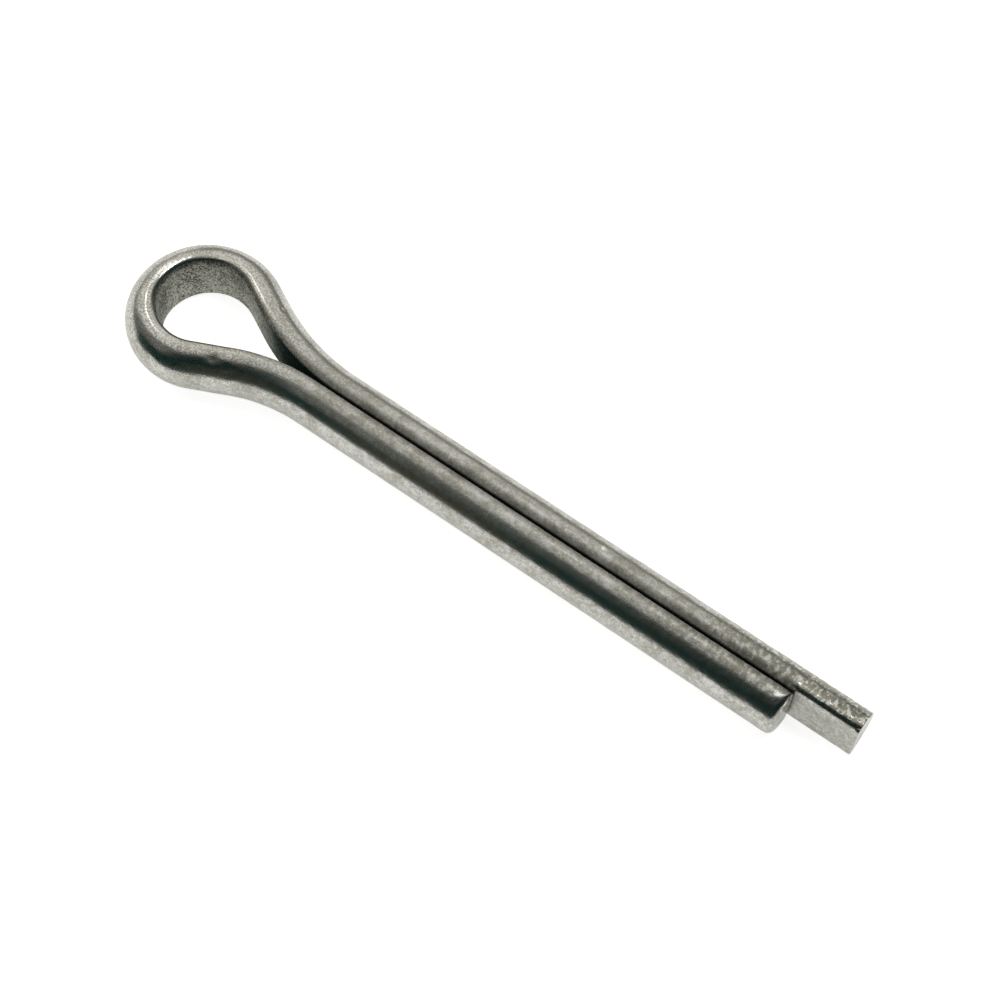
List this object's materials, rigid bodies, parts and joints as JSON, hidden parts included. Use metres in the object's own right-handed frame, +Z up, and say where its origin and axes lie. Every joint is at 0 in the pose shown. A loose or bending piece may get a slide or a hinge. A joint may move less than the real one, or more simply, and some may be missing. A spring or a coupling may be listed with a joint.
{
  "type": "cotter pin",
  "caption": "Cotter pin of half-round steel wire, bent into a round eye with a short and a long leg that pass through a hole and are spread to lock a nut or clevis pin.",
  "frame": {"origin": "on the shank's axis, where the straight shank begins below the eye", "axes": "+X along the shank toward the legs' ends, +Y toward the long leg, +Z up along the eye's hole; the pin lies on its side as it comes to rest"},
  "size_m": [0.0434, 0.0082, 0.0034],
  "materials": {
    "steel_wire": "satin"
  },
  "bodies": {
    "root": {"cotter_pin": "steel_wire"}
  },
  "joints": []
}
